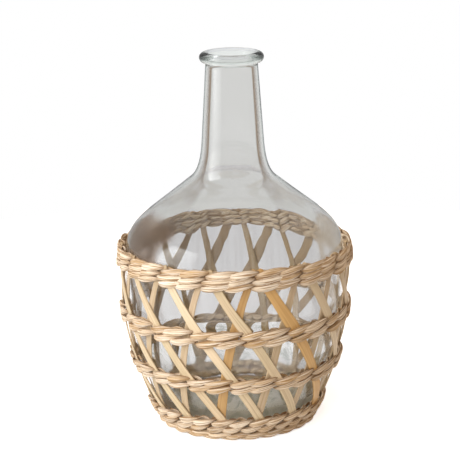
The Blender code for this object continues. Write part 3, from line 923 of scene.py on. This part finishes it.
def makeBorder():
    skin = skinnedRings()
    for strand in range(border["strands"]):
        pleated = makePleats(border["sides"], border["folds"], random.Random(border["seed"] + strand))
        points = []
        for azimuth in turnsOf(border["stations"]):
            turn = border["turns"] * azimuth + math.tau * strand / border["strands"]
            radius = border["radius"] + border["helixRadius"] * math.cos(turn)
            height = border["height"] + border["helixRadius"] * math.sin(turn) * border["squash"]
            points.append(around(radius, azimuth, height))
        lengths = lengthsAlong(points)
        rows = []
        for index, point in enumerate(points):
            along = heading(points, index)
            out = squareTo(along, Vector((point.x, point.y, 0.0)).normalized())
            across = out.cross(along)
            roll = math.tau * border["leafTurns"] * index / border["stations"]
            section, folds, shades = leafSection(border["width"], border["thick"], pleated, roll,
                                                 border["leafSeed"] + strand, lengths[index])
            ring = [point + across * right + out * up for right, up in section]
            for spot in ring:
                spot.z = max(spot.z, border["lowest"])
            change = noiseAt(strand * 3.0, 0.0, lengths[index] * border["toneScale"])
            tone = border["tone"] + border["toneChange"] * change
            rows.append((ring, folds, [clamp(tone + shade) for shade in shades]))
        skin.addTube(rows, True, [length + strand for length in lengths])
    return skin.finish("twistedBorder", borderRush)


def makeMat():
    # A guess at the underside: flat pale rush in close rings, each over and under the cane ends
    skin = skinnedRings()
    count, sides = mat["stations"], mat["sides"]
    # Painted shade along the edges of each ring
    folds = [mat["edgeShade"] if abs(math.cos(turn)) > mat["edgeFrom"] else 0.0 for turn in turnsOf(sides)]
    for index in range(mat["rings"]):
        points = []
        for azimuth in turnsOf(count):
            height = mat["middle"] + mat["wave"] * math.sin(mat["waves"] * azimuth + math.pi * index)
            points.append(around(mat["inner"] + index * mat["step"], azimuth, height))
        tones = [mat["tone"] + mat["toneStep"] * (index % mat["tones"])] * sides
        rows = []
        for spot, point in enumerate(points):
            along = heading(points, spot)
            out = squareTo(along, Vector((0.0, 0.0, 1.0)))
            across = out.cross(along)
            ring = ovalRing(point, across, out, mat["halfWidth"], mat["thickness"] / 2, sides)
            rows.append((ring, folds, tones))
        skin.addTube(rows, True, [length + index for length in lengthsAlong(points)])
    return skin.finish("plaitedMat", matRush)


# Stray fibres

fibres = {
    "count": 90, "length": (0.004, 0.013), "radius": 0.00016, "thinning": 0.6, "over": 0.0004,
    "sink": 0.0006, "lean": (-0.5, 0.9), "leanShare": 0.3, "lift": (0.05, 0.40), "tones": (0.4, 1.0),
    "stations": 6, "sides": 5, "seed": 5,
}


def makeFibres():
    f = fibres
    draw = random.Random(f["seed"])
    skin = skinnedRings()
    rows = [(band, height) for band in bands.values() for height in band["heights"]]
    for number in range(f["count"]):
        band, height = rows[draw.randrange(len(rows))]
        azimuth = draw.uniform(0.0, math.tau)
        level = height + draw.uniform(-0.5, 0.5) * band["pitch"]
        start = onWall(azimuth, level, twining["outer"] + f["over"])
        out = wallNormal(azimuth, level)
        side = rightward(azimuth) * draw.choice((-1.0, 1.0))
        lean, length, lift = draw.uniform(*f["lean"]), draw.uniform(*f["length"]), draw.uniform(*f["lift"])
        points = []
        for step in range(f["stations"]):
            share = step / (f["stations"] - 1)
            bent = share * share
            rise = Vector((0.0, 0.0, length * f["leanShare"] * lean * bent))
            points.append(start + side * (length * share) + rise + out * (length * lift * bent - f["sink"]))
        tones = [draw.uniform(*f["tones"])] * f["sides"]
        tube = []
        for step, point in enumerate(points):
            along = heading(points, step, closed=False)
            across = along.cross(Vector((0.0, 0.0, 1.0))).normalized()
            radius = f["radius"] * (1.0 - f["thinning"] * step / (f["stations"] - 1))
            ring = ovalRing(point, across, across.cross(along), radius, radius, f["sides"])
            tube.append((ring[::-1], [0.0] * f["sides"], tones))
        skin.addTube(tube, False, lengthsAlong(points))
    return skin.finish("strayFibres", paleRush)


# Every piece, seated on the frame


def seat(piece, slotName, *nodes):
    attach(piece, "root")
    if nodes:
        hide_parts(*nodes)


seat(makeGlass(), "clear_glass", "glass_bottle")
print("bottle made")
for number in range(1, cane["count"] + 1):
    golden = number == cane["golden"]
    strip = makeStrip(number, goldenCane if golden else strawCane)
    seat(strip, "golden_cane" if golden else "straw_cane", f"cane_strip_{number:02d}")
print("cane strips made")
for bandName, band in bands.items():
    for row in range(len(band["heights"])):
        for piece, strand in zip(makeRow(bandName, row), band["strands"]):
            node = bandName.replace("Band", "_band") + f"_row_{row + 1}"
            seat(piece, "pale_rush", f"{node}_{strand}" if strand else node)
print("rush bands twined")
seat(makeBorder(), "border_rush", "base_border")
seat(makeMat(), "mat_rush", "base_mat")
seat(makeFibres(), "pale_rush")
print("border, mat and fibres made")

# Studio

studio = {
    "worldLevel": 0.13, "glossLevel": 0.34, "airColour": (1.0, 0.48, 0.15),
    "floorColour": (0.90, 0.90, 0.89), "floorGlow": 0.72, "floorThrough": (0.36, 0.45, 0.60),
    "floorRadius": 0.70, "floorLevel": -0.0002, "floorSides": 96, "floorRough": 0.9,
}
lamps = (
    # name, azimuth, height, distance, width, tall, watts, colour, shows in gloss
    ("windowLight", -66.0, 0.85, 1.50, 1.35, 1.80, 23.0, (0.97, 0.99, 1.0), True),
    ("frontFill", -31.0, 0.92, 1.75, 2.20, 1.40, 29.5, (1.0, 0.99, 0.98), False),
    ("topFill", 0.0, 1.60, 0.25, 1.20, 1.20, 9.0, (1.0, 0.97, 0.91), False),
    ("sideFill", 125.0, 0.90, 1.60, 1.40, 1.20, 8.0, (1.0, 0.84, 0.66), False),
)
window = {"edge": 0.12, "rise": (0.70, 1.30), "across": (1.40, 0.45)}
aimHeight = 0.13


def shadeWindow(data):
    # Brighter towards its top and its far side, with soft edges, as daylight through a window is
    data.use_nodes = True
    tree = data.node_tree
    face = tree.nodes.new("ShaderNodeNewGeometry")
    parts = tree.nodes.new("ShaderNodeSeparateXYZ")
    tree.links.new(face.outputs["Parametric"], parts.inputs[0])
    level = rangeNode(tree, parts.outputs[1], 0.0, 1.0, *window["rise"])
    level = product(tree, level, rangeNode(tree, parts.outputs[0], 0.0, 1.0, *window["across"]))
    for output in parts.outputs[:2]:
        nearest = mathNode(tree, "MINIMUM", output, mathNode(tree, "SUBTRACT", 1.0, output))
        level = product(tree, level, rangeNode(tree, nearest, 0.0, window["edge"]))
    tree.links.new(level, tree.nodes["Emission"].inputs["Strength"])


def makeLamp(name, azimuth, height, distance, width, tall, watts, colour, inGloss):
    data = bpy.data.lights.new(name, "AREA")
    data.shape = "RECTANGLE"
    data.size, data.size_y = width, tall
    data.energy = watts
    data.color = colour
    if inGloss:
        shadeWindow(data)
    lamp = addObject(name, data)
    lamp.location = around(distance, math.radians(azimuth), height)
    aim = Vector((0.0, 0.0, aimHeight)) - lamp.location
    if inGloss:
        aim.z = 0.0
    lamp.rotation_euler = aim.to_track_quat("-Z", "Y").to_euler()
    lamp.visible_glossy = inGloss
    lamp.visible_transmission = inGloss


for lamp in lamps:
    makeLamp(*lamp)

world = bpy.data.worlds.new("studioAir")
bpy.context.scene.world = world
world.use_nodes = True
tree = world.node_tree
background = tree.nodes["Background"]
path = tree.nodes.new("ShaderNodeLightPath").outputs
seen = mathNode(tree, "MAXIMUM", path["Is Camera Ray"], path["Is Transmission Ray"])
strength = rangeNode(tree, seen, 0.0, 1.0, studio["worldLevel"], 1.0)
# Mirrored in the glass, the room is dimmer than the backdrop seen through it
mirrored = product(tree, path["Is Glossy Ray"], studio["glossLevel"])
tree.links.new(mathNode(tree, "MAXIMUM", strength, mirrored), background.inputs["Strength"])
seen = mathNode(tree, "MAXIMUM", seen, path["Is Glossy Ray"])
tree.links.new(mixColour(tree, seen, studio["airColour"], (1.0, 1.0, 1.0)), background.inputs["Color"])

floorMaterial, tree, shader = newMaterial("paleFloor")
shader.inputs["Base Color"].default_value = (*studio["floorColour"], 1.0)
shader.inputs["Roughness"].default_value = studio["floorRough"]
path = tree.nodes.new("ShaderNodeLightPath").outputs
# Through the bottle the floor glows less and bluer, which makes up for the warm lamplight on it
glow = mixColour(tree, path["Is Transmission Ray"], (1.0, 1.0, 1.0), studio["floorThrough"])
tree.links.new(glow, shader.inputs["Emission Color"])
seen = mathNode(tree, "MAXIMUM", path["Is Camera Ray"], path["Is Glossy Ray"], path["Is Transmission Ray"])
tree.links.new(product(tree, seen, studio["floorGlow"]), shader.inputs["Emission Strength"])
rim = [around(studio["floorRadius"], turn, studio["floorLevel"]) for turn in turnsOf(studio["floorSides"])]
floorMesh = bpy.data.meshes.new("paleFloor")
floorMesh.from_pydata(rim, [], [tuple(range(len(rim)))])
floorMesh.materials.append(floorMaterial)
floor = addObject("paleFloor", floorMesh)

view = {"distance": 1.27644, "height": 0.49868, "pitch": 0.26282, "roll": math.radians(0.95), "lens": 128.4,
        "sideways": -0.0034}
cameraData = bpy.data.cameras.new("photoView")
cameraData.lens = view["lens"]
cameraData.sensor_width = 36.0
camera = addObject("photoView", cameraData)
camera.location = (view["sideways"], -view["distance"], view["height"])
turned = Matrix.Rotation(math.pi / 2 - view["pitch"], 4, "X") @ Matrix.Rotation(-view["roll"], 4, "Z")
camera.rotation_euler = turned.to_euler()
bpy.context.scene.camera = camera
bpy.context.scene.view_settings.view_transform = "Standard"
print("studio ready")
